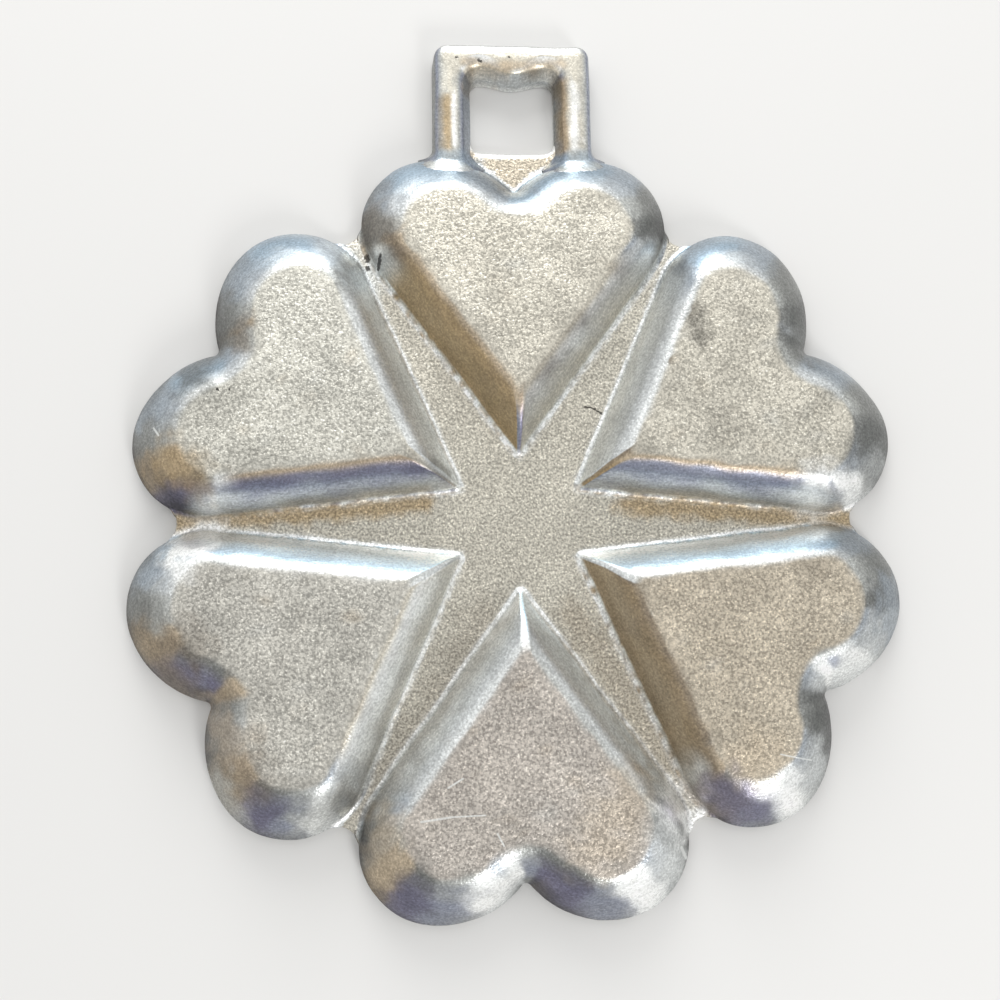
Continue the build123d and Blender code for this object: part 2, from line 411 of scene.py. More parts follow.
# %% [markdown]
# ## Six cups round the ring
# On the real pan the six hearts come from one pattern, turned by a sixth each time. Copies of
# one mesh would repeat every pit and ripple, so the outline is turned first and made uneven
# afterwards, in its own place. The first cup, at the handle, has one more stretch of root
# fillet, along the small web between the handle's legs.

# %% Make the cups
WEB_FADE = (93.0, 96.0)  # distance from the ring's middle over which the root fillet fades out
OPENING_HALF = 12.3


def turned_by(points, angle):
    """Points turned about Z."""
    cosine, sine = np.cos(angle), np.sin(angle)
    x, y = points[..., 0], points[..., 1]
    return np.stack([x * cosine - y * sine, x * sine + y * cosine, points[..., 2]], axis=-1)


def close_grid(grid, shine, poles):
    """Flat arrays of points, quads, end fans and burnish for a grid of closed rows."""
    rows, columns = grid.shape[:2]
    index = np.arange(rows * columns).reshape(rows, columns)
    points = np.concatenate([grid.reshape(-1, 3), poles])
    first, last = len(points) - 2, len(points) - 1
    ends = np.concatenate([fan_of(first, index[0]), fan_of(last, index[-1])[:, [0, 2, 1]]])
    burnish = np.concatenate([np.repeat(shine, columns), [shine[0], shine[-1]]])
    return points, quads_of(rows, columns), ends, burnish


steps = np.linalg.norm(np.diff(rim_loop, axis=0, append=rim_loop[:1]), axis=1)
way_round = np.concatenate([[0], np.cumsum(steps)[:-1]])
way_round = np.minimum(way_round, steps.sum() - way_round)
print("from a heart's tip to its notch:", round(way_round.max(), 1), "mm")


def make_cup(number):
    """The cup of that number, clockwise from the handle. Its along mark is 0 at the heart's tip."""
    reach = np.hypot(*rim_loop.T)
    has_web = 1 - smooth(reach, *WEB_FADE)
    if number == 1:
        between_legs = 1 - smooth(abs(rim_loop[:, 0]), OPENING_HALF, OPENING_HALF + 1.5)
        has_web = np.maximum(has_web, between_legs * (rim_loop[:, 1] > lobe_reach))
    grid, shine = cup_points(has_web)
    poles = np.array([[*BACK_MIDDLE, cup_height], [*BACK_MIDDLE, hollow_height]])
    points, quads, ends, burnish = close_grid(grid, shine, poles)
    along = np.concatenate([np.tile(way_round, len(grid)), [0, 0]])
    points = uneven(turned_by(points, -(number - 1) * turn))
    name = f"heart_cup_{number}_cast"
    cup = make_piece(name, points, quads, ends, {"burnish": burnish, "along": along})
    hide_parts(f"heart_cup_{number}")
    return cup


pieces = [make_cup(number) for number in range(1, CUP_COUNT + 1)]

# %% [markdown]
# ## The web between the cups
# The web is a flat star: a middle disc with six arms that run out between the cups and end in
# a hollow. A disc cut by six hearts would leave ragged edges, so each arm is a grid of its own.
# Its columns go from one heart's outline to the next, mirrored about the arm's middle, and its
# rows run out along it, round the hollow end and back along the underside.

# %% The web's arms
ARM_END_MIDDLE = 93.8  # how far out an arm's hollow end lies on the arm's middle line
ARM_END_SIDE = 95.4  # and how far out it lies on a heart's outline
ARM_STEPS = {"middle": 26, "across": 28, "end": 6}
ARM_ROUND = 1.3
WALL_SHEEN = (0.4, 2.4)  # how far from a heart's wall the web is smoother and painted with a highlight, fully and at all


def arm_grid():
    """One arm with its middle line along +Y, its first corner's row, and each point's gap to a heart.

    With a along the arm and t across it, a point is a_middle + (a_side - a_middle) * u^2 along and
    t_side * u across, for u from -1 to 1. The side is the ray to a heart's tip, then its outline.
    """
    right = rim_loop[: len(rim_loop) // 2]
    reach = np.hypot(*right.T)
    beside = right[: np.argmax(reach > ARM_END_SIDE)]
    ray = np.linspace(0, 1, ARM_STEPS["middle"], endpoint=False)[:, None] * beside[0]
    side = np.concatenate([ray, beside])
    half = turn / 2
    along = side[:, 0] * np.sin(half) + side[:, 1] * np.cos(half)
    across = side[:, 1] * np.sin(half) - side[:, 0] * np.cos(half)
    tip = len(ray)
    middle = np.hypot(*side.T)
    stretch = (ARM_END_MIDDLE - middle[tip]) / (along[-1] - along[tip])
    middle[tip:] = middle[tip] + (along[tip:] - along[tip]) * stretch
    u = np.linspace(-1, 1, ARM_STEPS["across"] + 1)
    y = middle[:, None] + (along - middle)[:, None] * u**2
    flat = np.stack([across[:, None] * u, y], axis=-1)
    gap = across[:, None] * (1 - np.abs(u))
    to_corner = np.hypot(np.abs(flat[..., 0]) - across[tip], flat[..., 1] - along[tip])
    gap[:tip] = to_corner[:tip]
    turned = np.linspace(0, np.pi, ARM_STEPS["end"] * 2 + 1)
    push = ARM_ROUND * (np.sin(turned) - 1)[:, None]
    end = flat[-1][None].repeat(len(turned), axis=0)
    end[..., 1] += push
    drop = ARM_ROUND * (1 - np.abs(np.cos(turned)))
    heights = np.where(turned < np.pi / 2, web_height - drop, drop)
    top = flat[:-1][flat[:-1, :, 1].max(axis=1) < end[0, :, 1].min()]
    rows = [lifted(top, web_height), lifted(end, heights), lifted(top[::-1], 0.0)]
    gaps = [gap[: len(top)], gap[-1:].repeat(len(end), axis=0), gap[: len(top)][::-1]]
    return np.concatenate(rows), tip, np.concatenate(gaps)


arm = arm_grid()[0]
print("one arm:", arm.shape[0], "rows of", arm.shape[1], "points")

# %% [markdown]
# ## Six arms make the star
# Turned copies of the arm meet in the middle, where their doubled edges are merged. A boolean
# union would do that too, but it cuts new faces along every join, and this keeps the grids.

# %% The web
import bmesh


def make_web():
    """Six arms, with a wall along each heart's outline. They meet in the middle, and merge_doubles
    joins them.
    """
    grid, tip, gap = arm_grid()
    rows, columns = grid.shape[:2]
    index = np.arange(rows * columns).reshape(rows, columns)
    near, far = index[tip : rows // 2, 0], index[::-1][tip : rows // 2, 0]
    left = np.stack([near[:-1], near[1:], far[1:], far[:-1]], axis=-1)
    right = (left + columns - 1)[:, ::-1]
    faces = np.concatenate([quads_of(rows, columns, closed=False), left, right])[:, ::-1]
    arms = [turned_by(grid, -(number + 0.5) * turn).reshape(-1, 3) for number in range(CUP_COUNT)]
    points = uneven(np.concatenate(arms))
    faces = np.concatenate([faces + number * grid[..., 0].size for number in range(CUP_COUNT)])
    # The same mark makes the web smoother along the walls, and bordered paints a highlight there by it.
    sheen = np.tile(0.7 * (1 - smooth(gap, *WALL_SHEEN)).ravel(), CUP_COUNT)
    marks = {"burnish": sheen, "along": np.zeros(len(points))}
    return make_piece("web_plate_cast", points, faces, np.zeros((0, 3), int), marks)


def merge_doubles(piece, reach=0.002):
    """Joins points that lie together, closes what is left open and turns the faces outward."""
    shape = bmesh.new()
    shape.from_mesh(piece.data)
    before = len(shape.verts)
    bmesh.ops.remove_doubles(shape, verts=shape.verts, dist=reach * MM)
    loose = [edge for edge in shape.edges if edge.is_boundary]
    bmesh.ops.holes_fill(shape, edges=loose, sides=0)
    bmesh.ops.recalc_face_normals(shape, faces=shape.faces)
    open_edges = sum(not edge.is_manifold for edge in shape.edges)
    shape.to_mesh(piece.data)
    print(f"{piece.name}: {before} points to {len(shape.verts)}, {open_edges} open edges")
    shape.free()
    return piece


web = merge_doubles(make_web())
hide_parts("web_plate")
pieces.append(web)

# %% [markdown]
# ## The handle's section and path
# The handle is a bar bent round a squared opening. Its outside is upright, its inside leans back
# and its top is rounded over, so one section can be carried along a U-shaped path. The
# section's outer points keep their distance from the outer outline and its inner points from
# the opening, because the two outlines have different corners and the opening has a wave.

# %% Section of the bar
OUTER_DRAFT = 1.0
INNER_DRAFT = 2.6
BAR_ROUND = 3.2
FOOT_ROUND = 0.7
KNEE_ROUND = 1.6
CROWN = 0.12  # the top of the bar is a little domed
CROWN_STEPS = 8


def rounded(corners, radii, steps=7):
    """An open line through corners, each rounded by a quadratic curve of about that radius.

    The curve starts radius * tan(turn / 2) from its corner, where an arc of that radius would.
    """
    line = [np.array([corners[0]], float)]
    for before, corner, after, radius in zip(corners, corners[1:], corners[2:], radii):
        before, corner, after = map(np.array, (before, corner, after))
        back = (before - corner) / np.linalg.norm(before - corner)
        on = (after - corner) / np.linalg.norm(after - corner)
        length = radius * np.tan(np.arccos(-back @ on) / 2)
        start, end = corner + back * length, corner + on * length
        t = np.linspace(0, 1, steps)[:, None]
        line.append((1 - t) ** 2 * start + 2 * t * (1 - t) * corner + t**2 * end)
    line.append(np.array([corners[-1]], float))
    return np.concatenate(line)


def bar_section():
    """Outer and inner halves of the section, each as (distance in from its outline, height)."""
    middle = 5.0
    outer = rounded(
        [(middle, 0), (0, 0), (OUTER_DRAFT, handle_height), (middle, handle_height)],
        [FOOT_ROUND, BAR_ROUND],
    )
    inner = rounded(
        [(middle, handle_height), (INNER_DRAFT, handle_height), (0, web_height), (0, 0), (middle, 0)],
        [BAR_ROUND, KNEE_ROUND, FOOT_ROUND],
    )
    return outer[:-1], inner[1:]


outer_half, inner_half = bar_section()
print("bar section:", len(outer_half) + len(inner_half) + CROWN_STEPS, "points")

# %% [markdown]
# ## The path of the bar
# The bar goes up one leg, round a corner, along the end bar and back. One curve with a bevel
# would give both sides of the bar the same bends, but here the outer corner is rounder than the
# opening's, and the end bar's inner edge has a wave from being filed. So the path is two
# outlines with the same number of points, and a section is stretched from one to the other.

# %% Path of the bar
HANDLE_HALF = 23.5
HANDLE_FAR = lobe_top + 35.0
HANDLE_CORNER = 4.5
OPENING_FAR = HANDLE_FAR - 9.8
OPENING_CORNER = 3.0
OPENING_DIP = 1.6
CREST_DIP = 3.0
LEG_END = 99.0  # the legs are drawn on to here, inside the first cup's wall
FOOT_REACH = 13.0
PATH_STEPS = {"foot": 44, "leg": 14, "corner": 30, "end": 26}


def corner_lines(middle):
    """Both outlines round a corner, on rays from the middle of the opening's corner arc.

    A ray ends where it leaves the outer box, or on the circle that rounds the box's corner.
    """
    ray = np.linspace(0, QUARTER, PATH_STEPS["corner"])
    heading = np.stack([np.cos(ray), np.sin(ray)], axis=-1)
    half = np.array([HANDLE_HALF, HANDLE_FAR]) - middle
    box_reach = (half / np.maximum(heading, 1e-9)).min(axis=1)
    along = heading @ (half - HANDLE_CORNER)
    gap = np.sum((half - HANDLE_CORNER) ** 2) - HANDLE_CORNER**2
    arc_reach = along + np.sqrt(np.maximum(along**2 - gap, 0))
    on_arc = np.all(box_reach[:, None] * heading > half - HANDLE_CORNER, axis=1)
    reach = np.where(on_arc, arc_reach, box_reach)[:, None]
    return middle + reach * heading, middle + OPENING_CORNER * heading


def bar_path():
    """Outer and inner outlines of the handle, point for point, and the end bar's wave from 0 to 1.

    Up the leg both are straight. Along the end bar the opening's edge dips by a cosine wave.
    """
    corner_x, corner_y = OPENING_HALF - OPENING_CORNER, OPENING_FAR - OPENING_CORNER
    foot_top = LEG_END + FOOT_REACH
    foot = np.linspace(LEG_END, foot_top, PATH_STEPS["foot"], endpoint=False)
    y = np.concatenate([foot, np.linspace(foot_top, corner_y, PATH_STEPS["leg"], endpoint=False)])
    leg_out = np.stack([np.full_like(y, HANDLE_HALF), y], axis=-1)
    leg_in = np.stack([np.full_like(y, OPENING_HALF), y], axis=-1)
    corner_out, corner_in = corner_lines(np.array([corner_x, corner_y]))
    x = np.linspace(corner_x, 0, PATH_STEPS["end"] + 1)[1:]
    dip = 0.5 + 0.5 * np.cos(np.pi * x / corner_x)
    end_out = np.stack([x, np.full_like(x, HANDLE_FAR)], axis=-1)
    end_in = np.stack([x, OPENING_FAR - OPENING_DIP * dip], axis=-1)
    outside = np.concatenate([leg_out, corner_out, end_out])
    inside = np.concatenate([leg_in, corner_in, end_in])
    wave = np.concatenate([np.zeros(len(outside) - len(dip)), dip])
    flip = np.array([-1, 1])
    outside = np.concatenate([outside, outside[-2::-1] * flip])
    inside = np.concatenate([inside, inside[-2::-1] * flip])
    return outside, inside, np.concatenate([wave, wave[-2::-1]])


print("path:", len(bar_path()[0]), "stations,", round(2 * HANDLE_HALF, 1), "mm wide")

# %% [markdown]
# ## The bar on its path
# At each station the section is laid from the outer outline to the inner one. At a corner the
# two outlines aren't parallel, so the section's distances are divided by how squarely it leaves
# each outline, which keeps the edges' roundings even. Between its two halves a low dome closes
# the top.

# %% Bar
SQUARE_LEAST = 0.6  # the least squareness that a distance is divided by


def slope_from(line, across):
    """How squarely each across direction leaves a line: 1 is at a right angle to it."""
    tangent = np.gradient(line, axis=0)
    tangent /= np.linalg.norm(tangent, axis=1, keepdims=True)
    return np.abs(tangent[:, 0] * across[:, 1] - tangent[:, 1] * across[:, 0])


def bar_grid():
    """Rows are stations of the path, columns go round the section, outer foot to inner foot."""
    outside, inside, wave = bar_path()
    across = inside - outside
    width = np.linalg.norm(across, axis=1, keepdims=True)
    across /= width
    lean_out = np.maximum(slope_from(outside, across), SQUARE_LEAST)[:, None]
    lean_in = np.maximum(slope_from(inside, across), SQUARE_LEAST)[:, None]
    from_out = np.minimum(outer_half[None, :, 0] / lean_out, width / 2)
    less = 1 - (CREST_DIP - OPENING_DIP) / INNER_DRAFT * wave[:, None]
    inner_off = inner_half[None, :, 0] * np.where(inner_half[:, 1] > web_height, less, 1)
    from_in = np.minimum(inner_off / lean_in, width / 2)
    from_out[:, 0] = width[:, 0] / 2
    from_in[:, -1] = width[:, 0] / 2
    start, end = from_out[:, -1:], width - from_in[:, :1]
    share = np.arange(1, CROWN_STEPS + 1) / (CROWN_STEPS + 1)
    crown = start + (end - start) * share
    reach = np.concatenate([from_out, crown, width - from_in[:, :-1]], axis=1)
    dome = handle_height - CROWN * (2 * share - 1) ** 2
    heights = np.concatenate([outer_half[:, 1], dome, inner_half[:-1, 1]])
    sunk = np.where(heights > handle_height / 2, CROWN * heights / handle_height, 0)
    sunk[len(outer_half) : len(outer_half) + CROWN_STEPS] = 0
    plan = outside[:, None] + across[:, None] * reach[..., None]
    return np.concatenate([plan, np.broadcast_to(heights - sunk, reach.shape)[..., None]], axis=-1)


bar = bar_grid()
print("handle:", bar.shape[0], "stations of", bar.shape[1], "points")

# %% [markdown]
# ## Where the legs meet the first cup
# On the pan the legs flow into the cup's lobes with a hollow curve all round. A boolean would
# leave a hard line, and a remesh would lose the even grid. So the legs' points are pushed
# outward as they near the cup: at a distance d from its wall, by R - sqrt(R^2 - (R - d)^2),
# which is a quarter circle. The wall's place for any x and height comes from the outline's arcs.

# %% Legs into the cup
FLARE_RADIUS = 4.2
CREST_FLARE = 2.6
FOOT_LAG = 4.4  # how much further out a leg starts at the floor
FOOT_LEAN = 0.75  # and how much less for each millimetre up
WALL_TOP = 0.995  # the highest share of the wall's climb that is looked up
LOOK_OUT = 40.0  # and the largest x


def north_wall(x, z):
    """The y of the first cup's wall on the handle's side, at any x and height.

    It is looked up in a table of y by level and x, with linear steps between its entries.
    """
    levels = np.linspace(0, WALL_TOP, 60)
    spots = np.linspace(0, LOOK_OUT, 161)
    right = wall_loops(np.arcsin(levels))[:, : len(rim_loop) // 2 + 1]
    start = ARC_STEPS["tip"] + ARC_STEPS["side"]
    xs, ys = right[:, start:, 0][:, ::-1], right[:, start:, 1][:, ::-1]
    table = np.stack([np.interp(spots, xs[k], ys[k]) for k in range(len(levels))])
    row = np.clip((z - web_height) / wall_climb, 0, WALL_TOP) / WALL_TOP * (len(levels) - 1)
    column = np.clip(np.abs(x), 0, 0.9999 * LOOK_OUT) / LOOK_OUT * (len(spots) - 1)
    r0, c0 = np.minimum(row.astype(int), len(levels) - 2), column.astype(int)
    fr, fc = row - r0, column - c0
    low = table[r0, c0] * (1 - fc) + table[r0, c0 + 1] * fc
    high = table[r0 + 1, c0] * (1 - fc) + table[r0 + 1, c0 + 1] * fc
    return low * (1 - fr) + high * fr


def flared(grid):
    """The bar's grid with its legs opened out where they run into the first cup."""
    ahead, behind = np.roll(grid, -1, axis=1), np.roll(grid, 1, axis=1)
    tangent = ahead - behind
    normal = np.stack([tangent[..., 2], np.zeros(grid.shape[:2]), -tangent[..., 0]], axis=-1)
    normal *= np.sign(grid[..., :1])
    normal /= np.maximum(np.linalg.norm(normal, axis=-1, keepdims=True), 1e-9)
    normal[..., 2] = np.maximum(normal[..., 2], 0)
    radius = FLARE_RADIUS + (CREST_FLARE - FLARE_RADIUS) * normal[..., 2]
    wall = north_wall(grid[..., 0], grid[..., 2])
    gap = np.clip(grid[..., 1] - wall, 0, radius)
    push = radius - np.sqrt(radius**2 - (radius - gap) ** 2)
    moved = grid + normal * push[..., None] * (grid[..., 2:] > 0.02)
    nearer = north_wall(moved[..., 0], moved[..., 2]) - wall
    moved[..., 1] += nearer * (1 - gap / radius)
    return moved


def make_handle():
    """The bar with its flares, its ends leaning as the cup's wall does so that they stay in it."""
    grid = flared(bar)
    lag = np.maximum(FOOT_LAG - FOOT_LEAN * grid[..., 2], 0)
    grid[..., 1] += lag * np.clip(1 - (grid[..., 1] - LEG_END) / FOOT_REACH, 0, 1)
    grid = uneven(grid)
    stations, columns = grid.shape[:2]
    index = np.arange(stations * columns).reshape(stations, columns)
    poles = grid[[0, -1]].mean(axis=1)
    points = np.concatenate([grid.reshape(-1, 3), poles])
    first, last = len(points) - 2, len(points) - 1
    ends = np.concatenate([fan_of(first, index[0]), fan_of(last, index[-1])[:, [0, 2, 1]]])
    middles = grid.mean(axis=1)
    steps = np.linalg.norm(np.diff(middles, axis=0, prepend=middles[:1]), axis=1)
    along = np.concatenate([np.repeat(np.cumsum(steps), columns), [0, 0]])
    marks = {"burnish": np.ones(len(points)), "along": along}
    return make_piece("handle_loop_cast", points, quads_of(stations, columns), ends, marks)


handle = merge_doubles(make_handle())
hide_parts("handle_loop")
pieces.append(handle)

# %% [markdown]
# ## The small web inside the handle
# Between the legs a thin plate runs from the first cup's notch to the opening. Its face is rough
# and its free edge is rounded and polished by use, with a painted highlight along it. It is a grid
# between the notch's outline and the opening's near edge, whose outer columns curl up against the legs.

# %% Handle web
OPENING_NEAR = notch_reach + 12.6
PLATE_EDGE = 1.5
PLATE_CURL = 1.5
PLATE_STEPS = {"across": 44, "along": 26, "edge": 8, "curl": 6}


def plate_grid():
    """Rows go from inside the notch to the opening, round its edge and back underneath."""
    lean = INNER_DRAFT * PLATE_CURL / (handle_height - web_height)
    wide = OPENING_HALF + lean
    turned = np.linspace(0, np.pi / 2, PLATE_STEPS["curl"] + 1)
    curl_x = wide - PLATE_CURL + PLATE_CURL * np.sin(turned)
    curl_z = PLATE_CURL * (1 - np.cos(turned))
    flat = np.linspace(0, curl_x[0], PLATE_STEPS["across"] // 2, endpoint=False)
    x = np.concatenate([flat, curl_x])
    lift = np.concatenate([np.zeros(len(flat)), curl_z])
    x, lift = np.concatenate([-x[:0:-1], x]), np.concatenate([lift[:0:-1], lift])
    past = np.clip(np.abs(x) - (OPENING_HALF - OPENING_CORNER), 0, OPENING_CORNER)
    far = OPENING_NEAR + OPENING_CORNER - np.sqrt(OPENING_CORNER**2 - past**2)
    near = north_wall(x, np.full_like(x, web_height)) - 1.0
    share = np.linspace(0, 1, PLATE_STEPS["along"])[:, None]
    top_y = near + (far - PLATE_EDGE - near) * share
    round_top = np.linspace(0, np.pi / 2, PLATE_STEPS["edge"] + 1)[1:, None]
    edge_y = far - PLATE_EDGE * (1 - np.sin(round_top))
    edge_z = web_height - PLATE_EDGE * (1 - np.cos(round_top)) + lift * np.cos(round_top)
    round_foot = np.linspace(0, np.pi / 2, 4)[:, None]
    foot_y = far - FOOT_ROUND * (1 - np.cos(round_foot))
    foot_z = FOOT_ROUND * (1 - np.sin(round_foot)) + 0 * lift
    under_y = near + (far - FOOT_ROUND - near) * share[::-1][1:]
    y = np.concatenate([top_y, edge_y, foot_y, under_y])
    z = np.concatenate([web_height + lift + 0 * top_y, edge_z, foot_z, np.zeros_like(under_y)])
    return np.stack([np.broadcast_to(x, y.shape), y, z], axis=-1)


def make_plate():
    """The plate's grid, with faces that close it under the notch."""
    grid = uneven(plate_grid())
    rows, columns = grid.shape[:2]
    points = grid.reshape(-1, 3)
    index = np.arange(rows * columns).reshape(rows, columns)
    near_end = np.stack([index[-1, :-1], index[0, :-1], index[0, 1:], index[-1, 1:]], axis=-1)
    quads = np.concatenate([quads_of(rows, columns, closed=False), near_end])[:, ::-1]
    polish = smooth(grid[..., 1], OPENING_NEAR - 2.4, OPENING_NEAR - 0.8)
    marks = {"burnish": polish, "along": np.zeros(len(points))}
    return make_piece("handle_web_cast", points, quads, np.zeros((0, 3), int), marks)


plate = merge_doubles(make_plate())
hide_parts("handle_web")
pieces.append(plate)

# %% [markdown]
# ## The colours of the metal
# The bare metal is not one grey. Its walls show pale steel, straw gold, brown and indigo, and its
# flat faces a dry warm grey. Some of that is stain, and some is the room mirrored in the metal,
# which one picture can't tell apart. Here all of it is given to the metal as colour, so the room's
# light is painted on as reflection, highlight and shade. It could be painted by hand on an image.
# Each colour has a name instead, so the same few finishes are used on every piece. They were tuned
# until the picture matched.

# %% Finishes
# The pale finishes serve also as painted highlights and reflections, and the darkest as painted shade.
FINISH = {
    "sand": (0.60, 0.57, 0.49),
    "gleam": (0.97, 0.98, 0.96),
    "white": (0.89, 0.91, 0.89),
    "cream": (0.92, 0.86, 0.72),
    "ice": (0.84, 0.92, 0.96),
    "frost": (0.72, 0.74, 0.73),
    "sky": (0.60, 0.76, 0.86),
    "haze": (0.31, 0.40, 0.48),
    "pearl": (0.54, 0.56, 0.56),
    "ash": (0.44, 0.45, 0.43),
    "slate": (0.37, 0.40, 0.43),
    "lead": (0.31, 0.35, 0.39),
    "steel": (0.22, 0.225, 0.215),
    "dusk": (0.27, 0.29, 0.35),
    "iron": (0.125, 0.13, 0.125),
    "indigo": (0.165, 0.16, 0.225),
    "straw": (0.58, 0.48, 0.35),
    "tan": (0.44, 0.36, 0.27),
    "clay": (0.42, 0.39, 0.33),
    "flint": (0.28, 0.26, 0.235),
    "gold": (0.42, 0.31, 0.17),
    "bronze": (0.29, 0.235, 0.165),
    "umber": (0.22, 0.18, 0.135),
    "black": (0.02, 0.018, 0.017),
}
print(len(FINISH), "finishes")

# %% [markdown]
# ## Where the light is painted on
# How light a wall is, and its hue, goes mostly with the way it faces and how steep it is, as the
# light of a window does. The lamps could be left to do this, but two soft lamps don't. So this is
# light painted on as colour, and it stays on the walls when the pan is turned. The finishes were
# picked by comparing mean colours, heading by heading and slope by slope, with those wanted. The
# straight sides and the lobes differ, so each has a table of its own. An entry is one heading, in
# degrees clockwise from the handle, with the finish of the wall's rounded brow, of the wall
# itself and of its steep foot. A wall that faces between two headings gets a smooth mix of both.

# %% Painted light by heading and slope
# Painted highlights, reflections and shade by heading, for the brow, the wall and the foot.
SIDE_PAINTED_LIGHT = {
    6: ("gleam", "sky", "gleam"),
    54: ("ash", "pearl", "ice"),
    66: ("frost", "pearl", "frost"),
    114: ("sand", "white", "frost"),
    126: ("clay", "flint", "sand"),
    174: ("tan", "indigo", "pearl"),
    186: ("straw", "dusk", "ash"),
    234: ("straw", "gold", "gold"),
    246: ("umber", "bronze", "tan"),
    294: ("frost", "pearl", "frost"),
    306: ("frost", "pearl", "gleam"),
    354: ("gleam", "sky", "gleam"),
}
LOBE_PAINTED_LIGHT = {
    0: ("frost", "haze", "pearl"),
    30: ("pearl", "lead", "lead"),
    60: ("ash", "steel", "steel"),
    90: ("steel", "iron", "black"),
    120: ("slate", "pearl", "iron"),
    150: ("frost", "gleam", "pearl"),
    180: ("ash", "dusk", "steel"),
    210: ("steel", "indigo", "black"),
    240: ("straw", "bronze", "black"),
    270: ("ash", "steel", "black"),
    300: ("pearl", "lead", "iron"),
    330: ("white", "haze", "slate"),
}
# The handle's painted highlights, reflections and shade by heading.
HANDLE_PAINTED_LIGHT = {
    0: ("frost", "ash", "pearl"),
    90: ("ash", "dusk", "slate"),
    150: ("gleam", "cream", "pearl"),
    210: ("gleam", "cream", "pearl"),
    270: ("ash", "dusk", "steel"),
}
SLOPES = (2, 17, 42, 74)  # degrees at which the flat ends, and the brow, wall and foot are pure
FOCUS = 40.0  # how sharply a heading keeps to itself


def painted(colour, finish, cover):
    """The colour with a share of a finish mixed in: colour * (1 - cover) + finish * cover."""
    return colour * (1 - cover[:, None]) + np.array(FINISH[finish]) * cover[:, None]


def painted_light_of(normals, flat, light_table):
    """Colour at each normal: headings weighed by exp(FOCUS * (cos(difference) - 1)), then by slope."""
    heading = np.arctan2(normals[:, 0], normals[:, 1])
    slope = np.degrees(np.arccos(np.clip(normals[:, 2], -1, 1)))
    weight = np.exp(FOCUS * (np.cos(heading[:, None] - np.radians(list(light_table))) - 1))
    weight /= weight.sum(axis=1, keepdims=True)
    colour = flat
    for band, low, high in zip(range(3), SLOPES[:-1], SLOPES[1:]):
        finish = weight @ np.array([FINISH[row[band]] for row in light_table.values()])
        share = smooth(slope, low, high)[:, None]
        colour = colour * (1 - share) + finish * share
    return colour


print(len(SIDE_PAINTED_LIGHT), "headings on the sides,", len(LOBE_PAINTED_LIGHT), "on the lobes")

# %% [markdown]
# ## Patches
# Some marks belong to one place: straw-coloured valleys beside two of the walls, a dark stain on the
# second cup, and brown, dark and bright patches of unknown cause. Like the colours by heading, most
# of it is painted light, with some stain among it: the bright patches are painted highlights, the
# dark ones painted shade, and the straw, gold and brown ones painted reflections. Each is a
# soft-edged capsule between two spots in millimetres, with a half width, a finish and a strength.

